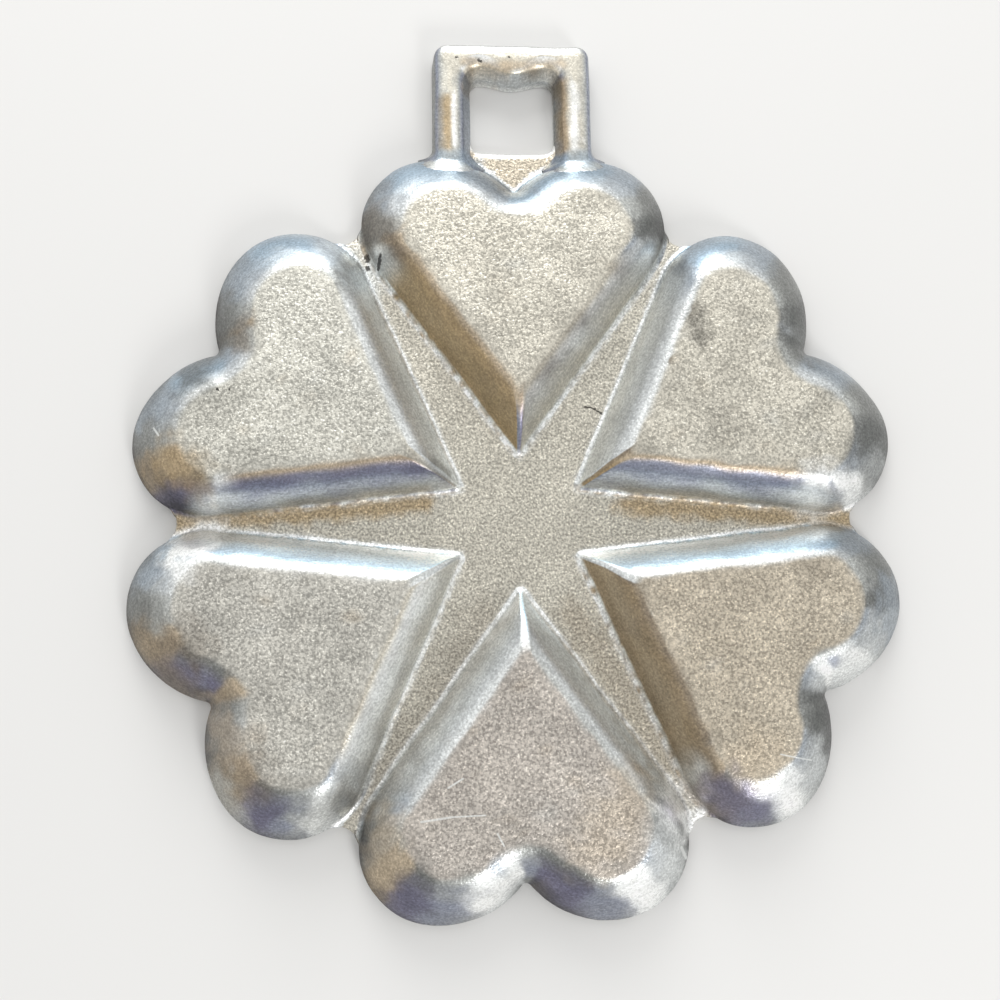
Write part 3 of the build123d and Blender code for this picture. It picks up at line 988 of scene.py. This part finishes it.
# %% Patches by place
LOW, ANY = web_height + 0.7, cup_height  # the height up to which a patch is mixed in
RAGGED = 0.25  # how far a patch's border wanders, as a share of its half width
LIGHT_AND_STAIN_PATCHES = [
    ((-92, 0.4), (-26, 5.2), 2.8, LOW, "gold", 0.8),
    ((30, 4.6), (92, 0.0), 3.4, LOW, "gold", 0.8),
    ((-10, -26), (-41, -74), 6.0, ANY, "umber", 0.3),
    ((15, -27), (45, -76), 6.0, ANY, "bronze", 0.45),
    ((48.5, 55), (50, 50), 3.6, ANY, "black", 0.5),
    ((-74, 53), (-75, 48), 3.5, ANY, "umber", 0.5),
    ((-94, 17), (-86, 11), 5.5, ANY, "gold", 0.6),
    ((27, -72), (18, -84), 8.0, ANY, "straw", 0.4),
    ((60, -62), (52, -74), 7.0, ANY, "straw", 0.4),
    ((-89, -30), (-84, -33), 5.0, ANY, "umber", 0.4),
    ((-70, -62), (-68, -68), 5.0, ANY, "umber", 0.4),
    ((-40, 88), (-36, 78), 5.0, ANY, "umber", 0.35),
    ((84, 52), (82, 48), 7.0, ANY, "iron", 0.6),
    ((99, 12), (94, 18), 6.0, ANY, "iron", 0.5),
    ((36, -80), (37, -92), 6.0, ANY, "frost", 0.6),
    ((51, -72), (60, -78), 5.5, ANY, "indigo", 0.8),
    ((-36, -78), (-37, -90), 5.0, ANY, "straw", 0.5),
    ((-57, -77), (-52, -73), 5.0, ANY, "ash", 0.7),
    ((81, 8), (83, 5), 6.0, ANY, "gleam", 0.8),
    ((-89, -8), (-85, -4), 6.0, ANY, "gleam", 0.9),
    ((-88, 38), (-88, 47), 6.0, ANY, "iron", 0.7),
    ((-51, 77), (-44, 68), 5.0, ANY, "ice", 0.5),
    ((38, -75), (44, -82), 4.5, ANY, "gleam", 0.9),
    ((-92, -41), (-88, -48), 6.0, ANY, "umber", 0.6),
    ((-80, -52), (-74, -58), 6.0, ANY, "tan", 0.5),
    ((-80, -70), (-77, -78), 6.0, ANY, "ash", 0.6),
    ((101, -16), (90, -8), 6.0, ANY, "iron", 0.4),
    ((102, -22), (102, -30), 7.0, ANY, "lead", 0.7),
    ((86, -42), (92, -43), 4.0, ANY, "frost", 0.8),
    ((-23, 14), (-21, 13), 2.5, ANY, "iron", 0.5),
    # Along the handle: painted reflections and highlights on the legs and the end bar, and painted
    # shade where the legs meet the cup and in the opening's far corners.
    ((-20.4, 122.0), (-20.4, 107.5), 1.4, ANY, "umber", 0.6),
    ((-18.7, 122.8), (-18.7, 107.5), 1.5, ANY, "gold", 0.8),
    ((-17.0, 124.0), (-17.0, 108.0), 0.8, ANY, "gleam", 0.8),
    ((14.7, 128.0), (14.7, 107.5), 1.7, ANY, "gold", 0.75),
    ((17.8, 127.0), (17.8, 108.0), 1.4, ANY, "gleam", 0.7),
    ((-20.0, 104.0), (-12.0, 104.0), 3.0, ANY, "haze", 0.6),
    ((14.0, 104.0), (22.0, 104.0), 3.0, ANY, "haze", 0.6),
    ((-13.2, 126.0), (-12.2, 131.0), 1.8, ANY, "umber", 0.55),
    ((13.2, 126.0), (12.2, 131.0), 1.8, ANY, "umber", 0.55),
    ((-14.0, 133.6), (-2.0, 132.4), 1.8, ANY, "straw", 0.7),
    ((-2.0, 132.4), (14.0, 134.0), 1.8, ANY, "straw", 0.7),
]


def patched_light_and_stain(colour, points):
    """Mixes in each patch up to its height, softly from its capsule's middle out to its edge."""
    for start, end, reach, top, finish, strength in LIGHT_AND_STAIN_PATCHES:
        start, way = np.array(start), np.subtract(end, start)
        along = np.clip((points[:, :2] - start) @ way / (way @ way), 0, 1)
        gap = np.linalg.norm(points[:, :2] - start - along[:, None] * way, axis=1)
        ragged = gap + RAGGED * reach * waves(points, 5.0, 41)
        cover = strength * (1 - smooth(ragged, 0.2 * reach, 1.5 * reach))
        colour = painted(colour, finish, cover * (1 - smooth(points[:, 2], top, top + 1)))
    return colour


print(len(LIGHT_AND_STAIN_PATCHES), "patches")

# %% [markdown]
# ## The faces that the sand left
# The flats and the web look unground. Their grey is dry and warm and not quite the same on every
# cup. It is painted a little lighter towards the handle and darker away from it, as painted light
# from that side. One flat colour would look like paint, so slow waves cloud it, and the grain comes
# later, in the material.

# %% Sand faces
FACE_TINTS = {
    "heart_cup_3": (0.96, 0.90, 0.84),
    "heart_cup_4": (0.94, 0.91, 0.95),
    "heart_cup_5": (1.01, 1.03, 1.08),
    "heart_cup_6": (1.05, 1.08, 1.12),
}
PAINTED_LIGHT_Y = (-30, 95)  # y over which the sand faces are painted lighter, as painted light from the handle's side


def flat_face(name, points):
    """The sand finish, clouded, with painted light: lighter towards the handle, darker away from it."""
    painted_light_share = smooth(points[:, 1], *PAINTED_LIGHT_Y)[:, None]
    clouds = 1 + 0.05 * waves(points, 17.0, 23)[:, None]
    tint = np.array(FACE_TINTS.get(name.removesuffix("_cast"), (1, 1, 1)))
    return np.array(FINISH["sand"]) * tint * (0.90 + 0.12 * painted_light_share) * clouds


print(len(FACE_TINTS), "faces with a tint of their own")

# %% [markdown]
# ## Bright lines and painted sheen
# A thin ragged line along the foot of the walls is nearly white. It could be found by edge
# detection in the shader, which the export loses. The heights and gaps are known here, so the line
# is worked out point by point. The steep parts of the lobes that face another cup across the web
# get a painted sheen, and painted highlights run along the webs beside the walls and round the rims
# of the handle's opening.

# %% Bright lines and painted sheen
ROOT_LINE = web_height + 0.4
ROOT_FALL = (0.5, 1.5)  # distance from that height over which the line's cover falls off
ROOT_REACH_END = (84, 90)  # distance from the ring's middle over which it ends
VALLEY_SLOPE = (38, 62)
FACING_OUT = (-0.25, 0.35)
BORDER = (1.1, 2.4)  # distance from the notch's wall over which the handle web's painted highlight ends
FLASH_HEIGHT, FLASH_END = 1.0, 131.2


def rooted(colour, points):
    """A thin ragged bright line along the foot of the walls."""
    gap = np.abs(points[:, 2] - ROOT_LINE)
    ragged = np.clip(0.55 + 0.35 * waves(points, 2.4, 43), 0, 1)
    inside = 1 - smooth(np.hypot(points[:, 0], points[:, 1]), *ROOT_REACH_END)
    return painted(colour, "white", ragged * (1 - smooth(gap, *ROOT_FALL)) * inside)


def painted_valley_sheen(colour, points, normals):
    """A painted sheen: the steep parts of a lobe that face another cup across the web are painted as
    bright as frost.
    """
    away = points[:, :2] / np.maximum(np.linalg.norm(points[:, :2], axis=1, keepdims=True), 1)
    facing_out = np.sum(normals[:, :2] * away, axis=1)
    steep = smooth(np.degrees(np.arccos(np.clip(normals[:, 2], -1, 1))), *VALLEY_SLOPE)
    return painted(colour, "frost", 0.8 * steep * (1 - smooth(facing_out, *FACING_OUT)))


def bordered(colour, points, burnish):
    """The sand finish of the webs, with a painted highlight along the cups. The handle's web is tan,
    with a painted highlight along the notch's wall and round the opening.
    """
    x, y = points[:, 0], points[:, 1]
    at_handle = smooth(y, notch_reach - 4, notch_reach - 2)
    tan = (np.array(FINISH["straw"]) + FINISH["sand"]) / 2
    colour = colour * (1 - at_handle[:, None]) + tan * at_handle[:, None]
    gap = y - north_wall(x, np.full_like(x, web_height)) + 0.5 * waves(points, 2.6, 47)
    opening = OPENING_NEAR - y + 0.3 * waves(points, 2.6, 53)
    opening = opening + 2.0 * smooth(np.abs(x), OPENING_HALF - OPENING_CORNER, OPENING_HALF)
    sheen = 0.95 * at_handle * (1 - smooth(np.minimum(gap, opening), *BORDER))
    ragged = np.clip(0.75 + 0.5 * waves(points, 2.2, 59), 0, 1)
    return painted(colour, "gleam", np.maximum(sheen, (1 - at_handle) * burnish * ragged))


def parting_line_highlight(colour, points):
    """A painted highlight low round the handle's opening, on the line where the two halves of the mould
    met.
    """
    x, y, z = points.T
    inside = 1 - smooth(np.abs(x), OPENING_HALF, OPENING_HALF + 1)
    inside = inside * (1 - smooth(y, FLASH_END, FLASH_END + 1))
    return painted(colour, "gleam", 0.8 * inside * (1 - smooth(np.abs(z - FLASH_HEIGHT), 0.4, 1.0)))


print("rubbed lines at", round(ROOT_LINE, 2), "and", FLASH_HEIGHT, "mm")

# %% [markdown]
# ## Colour every piece
# All of this, the metal's own colour and the painted light, goes into one colour attribute on each
# mesh, a colour a point, since the meshes are fine enough to hold its soft borders. The normals are
# shaken a little first, so that the borders wander instead of running straight.

# %% Colour every piece
LOBE_START = (56, 68)  # distance from a heart's tip over which a straight side becomes a lobe
UNSURE = 0.035  # how far the borders of the painted light wander


def read_mesh(mesh):
    """Points in millimetres, normals, and the marks along and burnish of every vertex."""
    points, normals = np.empty((2, len(mesh.vertices), 3), np.float32)
    along, burnish = np.empty((2, len(mesh.vertices)), np.float32)
    mesh.vertices.foreach_get("co", points.ravel())
    mesh.vertex_normals.foreach_get("vector", normals.ravel())
    mesh.attributes["along"].data.foreach_get("value", along)
    mesh.attributes["burnish"].data.foreach_get("value", burnish)
    return points.astype(float) / MM, normals.astype(float), along, burnish


def colour_piece(piece):
    """One colour a point, with its painted light, from its place and from the way it faces, in one
    colour attribute.
    """
    points, normals, along, burnish = read_mesh(piece.data)
    normals = normals + UNSURE * waves(points, 9.0, 31)[:, None]
    normals /= np.linalg.norm(normals, axis=1, keepdims=True)
    flat = flat_face(piece.name, points)
    if piece.name.startswith("handle_loop"):
        colour = parting_line_highlight(painted_light_of(normals, flat, HANDLE_PAINTED_LIGHT), points)
    elif piece.name.startswith("heart_cup"):
        lobe = smooth(along, *LOBE_START)[:, None]
        colour = painted_valley_sheen(painted_light_of(normals, flat, LOBE_PAINTED_LIGHT), points, normals) * lobe
        colour = colour + painted_light_of(normals, flat, SIDE_PAINTED_LIGHT) * (1 - lobe)
        colour = rooted(colour, points) * (1 + 0.07 * waves(points, 13.0, 29)[:, None])
    else:
        colour = bordered(flat, points, burnish)
    rgba = np.c_[np.clip(patched_light_and_stain(colour, points), 0, 1), np.ones(len(points))]
    layer = piece.data.attributes.new("colour_and_painted_light", "FLOAT_COLOR", "POINT")
    layer.data.foreach_set("color", rgba.astype(np.float32).ravel())
    print(piece.name, "mean colour", np.round(rgba[:, :3].mean(axis=0), 2))


for piece in pieces:
    colour_piece(piece)

# %% [markdown]
# ## Helpers for the shader
# The metal's fine detail, its grain, streaks and pits, is smaller than the meshes' points, so
# the shader works it out. A node tree could be wired link by link. Here each function adds one
# kind of node and returns its output, so a formula reads like a formula.

# %% Node helpers
def add_node(tree, kind, settings=None, **sockets):
    """One shader node with its settings, and its inputs by name: a socket is linked, a value is set."""
    node = tree.nodes.new(kind)
    for name, value in (settings or {}).items():
        setattr(node, name, value)
    for name, value in sockets.items():
        key = int(name[1:]) if name[1:].isdigit() else name.replace("_", " ")
        if isinstance(value, bpy.types.NodeSocket):
            tree.links.new(value, node.inputs[key])
        else:
            node.inputs[key].default_value = value
    return node


def math_of(tree, operation, first, second=0.0, clamp=False):
    """A sum, product or the like of two sockets or numbers."""
    settings = {"operation": operation, "use_clamp": clamp}
    return add_node(tree, "ShaderNodeMath", settings, _0=first, _1=second).outputs[0]


def vector_of(tree, operation, first, second=(0, 0, 0)):
    """The same for vectors. A dot product and a length give a number."""
    node = add_node(tree, "ShaderNodeVectorMath", {"operation": operation}, _0=first, _1=second)
    return node.outputs["Value" if operation in ("DOT_PRODUCT", "LENGTH") else "Vector"]


def ramp_of(tree, value, low, high, start=0.0, end=1.0):
    """Start below low, end above high, smooth between them."""
    settings = {"interpolation_type": "SMOOTHSTEP"}
    ranges = {"From_Min": low, "From_Max": high, "To_Min": start, "To_Max": end}
    return add_node(tree, "ShaderNodeMapRange", settings, Value=value, **ranges).outputs[0]


def noise_of(tree, place, wavelength, detail=2.0, distortion=0.0):
    """Noise about 0.5 with features of that size in millimetres."""
    settings = {"Scale": 1 / wavelength, "Detail": detail, "Distortion": distortion}
    return add_node(tree, "ShaderNodeTexNoise", None, Vector=place, **settings).outputs["Fac"]


def sum_of(tree, first, second):
    """Two sockets or numbers added up."""
    return math_of(tree, "ADD", first, second)


def product_of(tree, first, second):
    """Two sockets or numbers multiplied."""
    return math_of(tree, "MULTIPLY", first, second)


def mix_of(tree, share, first, second, blend="MIX"):
    """One colour mixed into another by a share."""
    settings = {"data_type": "RGBA", "blend_type": blend}
    return add_node(tree, "ShaderNodeMix", settings, _0=share, _6=first, _7=second).outputs[2]


def attribute_of(tree, name, output):
    """A mark, or the colour with its painted light, that the mesh carries."""
    return add_node(tree, "ShaderNodeAttribute", {"attribute_name": name}).outputs[output]


# %% [markdown]
# ## Pits and scratches
# A casting has small blow holes, and this one has a short crack in the web and a few knife
# scratches on the backs. They are placed one by one, since no pattern would put them there. Each is
# a short line, and a point's distance to it says whether the point is in it.

# %% Marks
PITS = [
    ((-80.7, 34.7), (-80.5, 34.5), 0.5),
    ((-77.5, 34.7), (-77.4, 34.5), 0.4),
    ((-42.3, 76.4), (-42.0, 75.2), 0.8),
    ((-42.1, 73.4), (-41.9, 72.8), 0.7),
    ((-38.2, 74.6), (-38.8, 72.6), 0.7),
    ((19.2, 32.5), (21.6, 32.0), 0.28),
    ((21.6, 32.0), (23.9, 30.4), 0.28),
    ((-16.3, 135.1), (-16.1, 135.0), 0.45),
    ((-9.8, 134.6), (-9.0, 134.2), 0.5),
    ((-0.9, 135.4), (-0.8, 135.3), 0.3),
]
SCRATCHES = [
    ((-27.3, -77.6), (-19.5, -76.6), 0.35),
    ((-19.5, -76.6), (-11.0, -76.4), 0.25),
    ((-20.4, -69.4), (-16.6, -67.2), 0.3),
    ((-98.2, 25.2), (-96.4, 22.9), 0.35),
    ((66.0, -63.0), (75.0, -65.0), 0.25),
    ((-8.0, -81.0), (-6.4, -84.0), 0.3),
    ((40.5, -87.0), (42.6, -90.5), 0.6),
]


def mark_of(tree, place, start, end, width):
    """1 within a short line's width and 0 outside it, by the distance to the line in plan."""
    way = (end[0] - start[0], end[1] - start[1], 0)
    length = way[0] ** 2 + way[1] ** 2
    offset = vector_of(tree, "SUBTRACT", place, (start[0], start[1], 0))
    along = vector_of(tree, "DOT_PRODUCT", offset, tuple(part / length for part in way))
    along = math_of(tree, "ADD", along, 0.0, clamp=True)
    foot = add_node(tree, "ShaderNodeVectorMath", {"operation": "SCALE"}, _0=way, Scale=along)
    gap = vector_of(tree, "LENGTH", vector_of(tree, "SUBTRACT", offset, foot.outputs["Vector"]))
    return ramp_of(tree, gap, width * 0.5, width, 1.0, 0.0)


def any_mark(tree, place, marks):
    """The strongest of all marks at a place."""
    found = 0.0
    for start, end, width in marks:
        found = math_of(tree, "MAXIMUM", mark_of(tree, place, start, end, width), found)
    return found


print(len(PITS), "pits,", len(SCRATCHES), "scratches")

# %% [markdown]
# ## The cast metal
# One material serves the whole casting, since it is one pour of iron. It is a metal whose colour
# is the mesh's colour with its painted light, dulled and lit up by grain and lit up more by painted
# glints. The grain is also a fine bump, strong where the burnish is 0 and faint where the wall was
# ground, and ground walls have streaks along them instead. Painted maps could hold all this, but
# would need an unwrapping and a size of pixel.

# %% Colour of the metal
BARE = 0.5  # how much of the grain's contrast the grinding takes away
STREAK = 0.08
STREAK_STRETCH = 0.12  # how much slower a streak changes along the wall than up it
GRAIN_RANGE = (0.34, 0.66, 0.60, 1.26)  # noise from and to, and the shade it gives
# The next range paints the specks bright: painted glints off the grain.
GLINT_RANGE = (0.56, 0.70, 0.0, 0.7)


def streaks_of(tree, place, along):
    """Noise in the plane of the way round the wall and the height, drawn out along the wall."""
    height = add_node(tree, "ShaderNodeSeparateXYZ", None, Vector=place).outputs["Z"]
    run = product_of(tree, along, STREAK_STRETCH)
    stretched = add_node(tree, "ShaderNodeCombineXYZ", None, X=run, Y=height).outputs["Vector"]
    return noise_of(tree, stretched, 0.5, detail=2.0)


def shade_of(tree, grain, glint_specks, streaks, burnish):
    """Grain, with painted glints on its specks, pulled towards 1 by the burnish, times the streaks."""
    speck = sum_of(tree, ramp_of(tree, grain, *GRAIN_RANGE), ramp_of(tree, glint_specks, *GLINT_RANGE))
    calm = product_of(tree, burnish, BARE)
    speck = sum_of(tree, product_of(tree, speck, math_of(tree, "SUBTRACT", 1.0, calm)), calm)
    streak = ramp_of(tree, streaks, 0.3, 0.7, -STREAK, STREAK)
    return product_of(tree, speck, sum_of(tree, product_of(tree, streak, burnish), 1.0))


def colour_of(tree, shade, pits, scratches):
    """The mesh's colour with its painted light, times the shade, dark in the pits and bright in the
    scratches.
    """
    shade = add_node(tree, "ShaderNodeCombineColor", None, Red=shade, Green=shade, Blue=shade)
    colour = mix_of(tree, 1.0, attribute_of(tree, "colour_and_painted_light", "Color"), shade.outputs[0], "MULTIPLY")
    colour = mix_of(tree, product_of(tree, pits, 0.85), colour, (*FINISH["black"], 1))
    return mix_of(tree, product_of(tree, scratches, 0.6), colour, (*FINISH["white"], 1))


print("grain shades from", GRAIN_RANGE[2], "to", GRAIN_RANGE[3])

# %% [markdown]
# ## Gloss, relief and the finished material
# Sand leaves bumps of two sizes, and grinding leaves ridges as fine as a hair. Real bumps would
# need millions of faces, so they tilt the light only. The pits' edges are shaken by noise, since
# a blow hole is never a neat oval.

# %% Cast metal
RELIEF = {"grain": 0.22, "glint_specks": 0.08, "pebbles": 0.12, "ridges": 0.02, "pits": 0.4}
DULL, DULLER = 0.35, 0.06  # roughness where ground, and what the sand adds
METALLIC = 0.82  # the rest is the thin dry film


def relief_of(tree, bumps, rough, ridges, pits):
    """Heights in millimetres: the bumps, weaker where ground, the ridges, less the pits."""
    relief = 0.0
    for name, bump in bumps.items():
        relief = sum_of(tree, relief, product_of(tree, bump, RELIEF[name]))
    relief = product_of(tree, relief, sum_of(tree, product_of(tree, rough, 0.75), 0.25))
    relief = sum_of(tree, relief, product_of(tree, ridges, RELIEF["ridges"]))
    return math_of(tree, "SUBTRACT", relief, product_of(tree, pits, RELIEF["pits"]))


def cast_metal():
    """Fills the Principled shader's colour, roughness and normal from the fields above."""
    material = bpy.data.materials.new("cast_metal")
    material.use_nodes = True
    tree = material.node_tree
    shader = tree.nodes["Principled BSDF"]
    place = add_node(tree, "ShaderNodeTexCoord").outputs["Object"]
    place = vector_of(tree, "MULTIPLY", place, (1 / MM, 1 / MM, 1 / MM))
    plan = vector_of(tree, "MULTIPLY", place, (1, 1, 0))
    burnish = attribute_of(tree, "burnish", "Fac")
    grain = noise_of(tree, place, 0.7, detail=4.0, distortion=0.2)
    # Specks: their bump is relief, and their bright colour in shade_of is a painted glint.
    glint_specks = noise_of(tree, place, 0.55, detail=2.0)
    pebbles = noise_of(tree, place, 2.6, detail=1.0)
    streaks = streaks_of(tree, place, attribute_of(tree, "along", "Fac"))
    wobble = add_node(tree, "ShaderNodeTexNoise", None, Vector=place, Scale=1.3).outputs["Color"]
    wobble = vector_of(tree, "SUBTRACT", wobble, (0.5, 0.5, 0.5))
    wobble = vector_of(tree, "MULTIPLY", wobble, (1.1, 1.1, 0))
    pits = any_mark(tree, vector_of(tree, "ADD", plan, wobble), PITS)

    shade = shade_of(tree, grain, glint_specks, streaks, burnish)
    colour = colour_of(tree, shade, pits, any_mark(tree, plan, SCRATCHES))
    tree.links.new(colour, shader.inputs["Base Color"])
    shader.inputs["Metallic"].default_value = METALLIC
    rough = math_of(tree, "SUBTRACT", 1.0, burnish, clamp=True)
    gloss = ramp_of(tree, grain, 0.3, 0.7, DULLER, -DULLER)
    dull = sum_of(tree, product_of(tree, rough, DULLER), DULL)
    tree.links.new(sum_of(tree, dull, gloss), shader.inputs["Roughness"])
    bumps = {"grain": grain, "glint_specks": glint_specks, "pebbles": pebbles}
    relief = relief_of(tree, bumps, rough, product_of(tree, streaks, burnish), pits)
    bump = add_node(tree, "ShaderNodeBump", None, Strength=1.0, Distance=MM, Height=relief)
    tree.links.new(bump.outputs["Normal"], shader.inputs["Normal"])
    return material


metal = cast_metal()
for piece in pieces:
    piece.data.materials.append(metal)
    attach(piece, "root")
print("cast metal:", len(metal.node_tree.nodes), "nodes")

# %% [markdown]
# ## Floor
# A plain pale floor carries the shadow and shows in the metal. A curved backdrop would do the
# same, but from above only the floor is seen, so it is one wide square.

# %% Floor
FLOOR_REACH = 3.0  # metres from the middle
FLOOR_COLOUR = (0.74, 0.735, 0.72, 1)


def make_floor():
    """One square, matt and pale."""
    mesh = bpy.data.meshes.new("floor")
    reach = FLOOR_REACH
    corners = [(-reach, -reach, 0), (reach, -reach, 0), (reach, reach, 0), (-reach, reach, 0)]
    mesh.from_pydata(corners, [], [(0, 1, 2, 3)])
    floor = bpy.data.objects.new("floor", mesh)
    bpy.context.scene.collection.objects.link(floor)
    paint = bpy.data.materials.new("pale_floor")
    paint.use_nodes = True
    shader = paint.node_tree.nodes["Principled BSDF"]
    shader.inputs["Base Color"].default_value = FLOOR_COLOUR
    shader.inputs["Roughness"].default_value = 0.9
    mesh.materials.append(paint)
    return floor


make_floor()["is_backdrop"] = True
print("floor:", 2 * FLOOR_REACH, "m wide")

# %% [markdown]
# ## Light
# A metal shows what is round it, so the light is mostly a soft dome, brighter on the handle's
# side than on the other. A picture of a room would do it too, but would print its windows on
# every wall. A smooth ramp over the direction of a ray has no edges to show.

# %% Soft dome
DOME_LEAN = (0.0, 0.95, -0.3)  # the direction in which the dome is brightest
DOME_RANGE = (0.65, 1.15)


def soft_dome():
    """A white world whose strength goes with the dot product of a ray and DOME_LEAN."""
    world = bpy.data.worlds.new("soft_dome")
    bpy.context.scene.world = world
    world.use_nodes = True
    tree = world.node_tree
    heading = add_node(tree, "ShaderNodeTexCoord").outputs["Generated"]
    lean = vector_of(tree, "DOT_PRODUCT", heading, DOME_LEAN)
    strength = ramp_of(tree, lean, -1.0, 1.0, *DOME_RANGE)
    tree.links.new(strength, tree.nodes["Background"].inputs["Strength"])
    tree.nodes["Background"].inputs["Color"].default_value = (1, 1, 1, 1)


soft_dome()
print("dome strength", *DOME_RANGE)

# %% [markdown]
# ## Lamps
# Two soft lamps draw the highlights. The large one, low behind the handle, lights the brows that
# face it, and a smaller one on the opposite side gives the far lobes theirs. Area lamps are
# used, because a sun or a point would leave a hard spark on every bump.

# %% Lamps
from mathutils import Vector


def soft_lamp(name, heading, height, distance, size, power):
    """A square lamp that looks at the pan, from a heading and a height in degrees."""
    heading, height = np.radians(heading), np.radians(height)
    spot = Vector((np.sin(heading) * np.cos(height), np.cos(heading) * np.cos(height), np.sin(height)))
    lamp = bpy.data.lights.new(name, "AREA")
    lamp.energy, lamp.size = power, size
    holder = bpy.data.objects.new(name, lamp)
    holder.location = spot * distance
    holder.rotation_euler = (-spot).to_track_quat("-Z", "Y").to_euler()
    bpy.context.scene.collection.objects.link(holder)
    print(name, "at", [round(v, 2) for v in holder.location])


soft_lamp("back_lamp", heading=355, height=24, distance=1.0, size=0.5, power=5.0)
soft_lamp("front_lamp", heading=152, height=34, distance=1.0, size=0.24, power=2.8)

# %% [markdown]
# ## Camera
# The picture is taken from just south of overhead, close enough that the cups' flat backs spread
# apart a little against their rims. The place and turn come from fitting the outline at an
# assumed lens and pan size, rather than from aiming at the middle, so that the pan fills the
# frame as it does in the photograph.

# %% Camera
camera_data = bpy.data.cameras.new("camera")
camera_data.lens, camera_data.sensor_width, camera_data.clip_start = 36, 36, 0.01
camera = bpy.data.objects.new("camera", camera_data)
camera.location = (-0.02084, -0.03306, 0.27790)
camera.rotation_euler = np.radians((8.165, -3.103, -0.934))
bpy.context.scene.collection.objects.link(camera)
bpy.context.scene.camera = camera
bpy.context.scene.view_settings.view_transform = "Standard"
print("camera at", [round(v, 3) for v in camera.location])

# %% [markdown]
# ## The two boxes
# The dressed pan has to stay inside the box of the solid model, so both boxes are printed.

boxes = {"cad": (cad_low, cad_high), "visual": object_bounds()}
boxes = {name: [list(map(float, corner)) for corner in box] for name, box in boxes.items()}
print(boxes)
